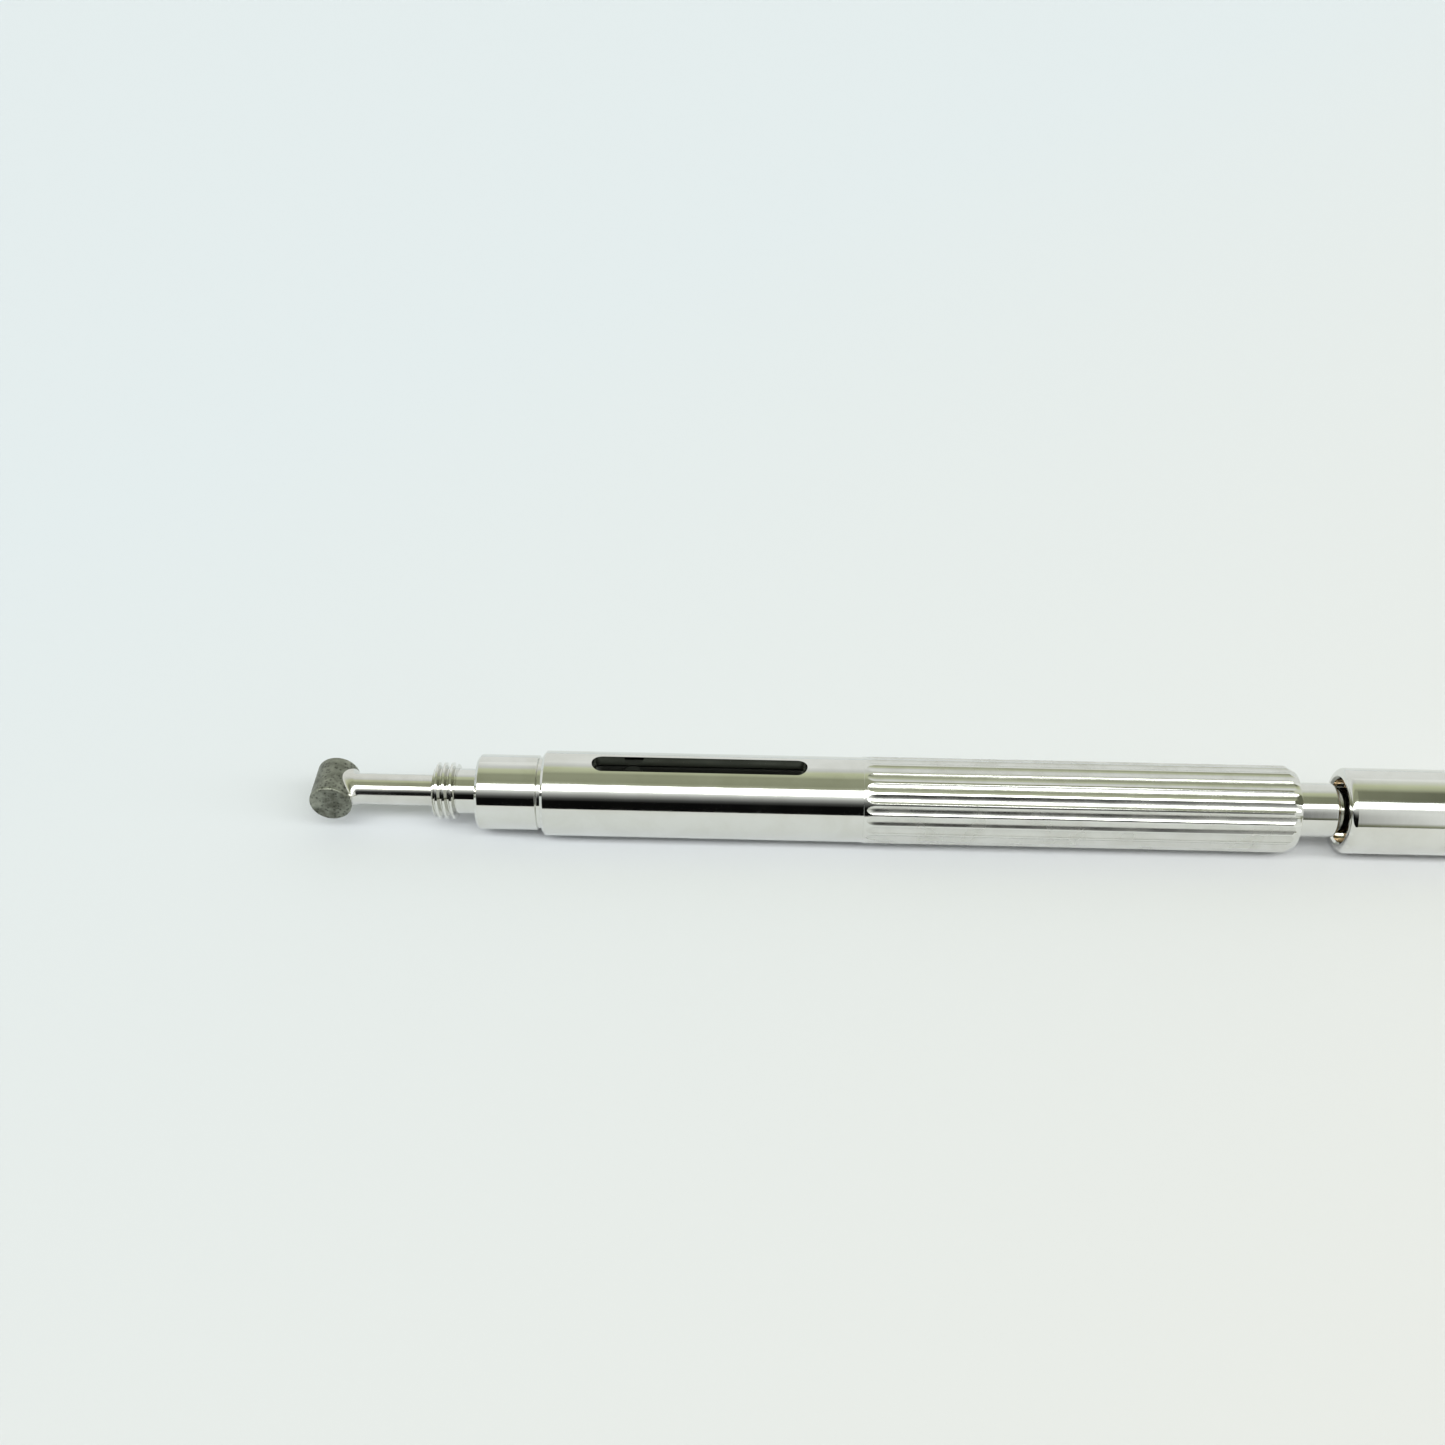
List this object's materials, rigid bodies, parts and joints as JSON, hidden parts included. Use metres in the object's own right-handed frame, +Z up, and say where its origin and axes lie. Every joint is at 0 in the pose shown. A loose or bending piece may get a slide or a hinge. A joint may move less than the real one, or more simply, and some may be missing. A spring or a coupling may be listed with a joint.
{
  "type": "watchmaker screwdriver",
  "caption": "Slim plated watchmaker's screwdriver with a cross-bar bit on a sprung spindle, a windowed barrel with a fluted grip, and a ball-bearing swivel cap.",
  "frame": {"origin": "under the middle of the tool's length, on the surface that the fluted grip rests on", "axes": "+X along the tool from the bit to the swivel cap, +Z up through the barrel's window, +Y along the bit's cross-bar"},
  "size_m": [0.085, 0.006, 0.0061],
  "materials": {
    "sintered_grey": "matt, fine-grained grey alloy",
    "polished_steel": "ground and polished",
    "bright_plate": "bright nickel-chrome plate",
    "bronze": "turned, lightly oiled",
    "black_oxide": "black oxide, oiled",
    "spring_steel": "drawn wire",
    "brass": "turned brass",
    "bearing_steel": "ground"
  },
  "bodies": {
    "handle": {"nose_collar": "bright_plate", "guide_bush": "bronze", "handle_barrel": "bright_plate", "pressure_spring": "spring_steel", "preload_plug": "brass", "plug_lock_ring": "brass", "swivel_post": "bright_plate", "bearing_inner_race": "bearing_steel", "bearing_washer": "polished_steel", "bearing_screw": "black_oxide"},
    "spindle": {"blade_spindle": "black_oxide", "drive_pin": "black_oxide", "bit_set_screw": "black_oxide", "bit_shank": "polished_steel", "bit_head": "sintered_grey", "spring_seat_washer": "polished_steel"},
    "cap": {"cap_shell": "bright_plate", "cap_bush": "bronze", "bearing_outer_race": "bearing_steel", "spacer_sleeve": "brass", "cap_plug": "bright_plate"},
    "cage": {"bearing_cage": "brass", "bearing_balls": "bearing_steel"}
  },
  "joints": [
    {"name": "spindle_press", "type": "slide", "parent": "handle", "child": "spindle", "axis": [1, 0, 0], "range_m": [0, 0.004], "stiffness_N_per_m": 680, "springref_m": -0.0028, "deforming": ["pressure_spring"]},
    {"name": "cap_spin", "type": "hinge", "parent": "handle", "child": "cap", "pos_m": [0.03, 0, 0.00303], "axis": [1, 0, 0], "continuous": true},
    {"name": "cage_spin", "type": "hinge", "parent": "handle", "child": "cage", "pos_m": [0.03435, 0, 0.00303], "axis": [1, 0, 0], "continuous": true}
  ],
  "couplings": [
    {"joint": "cage_spin", "follows": "cap_spin", "ratio": 0.61429}
  ]
}
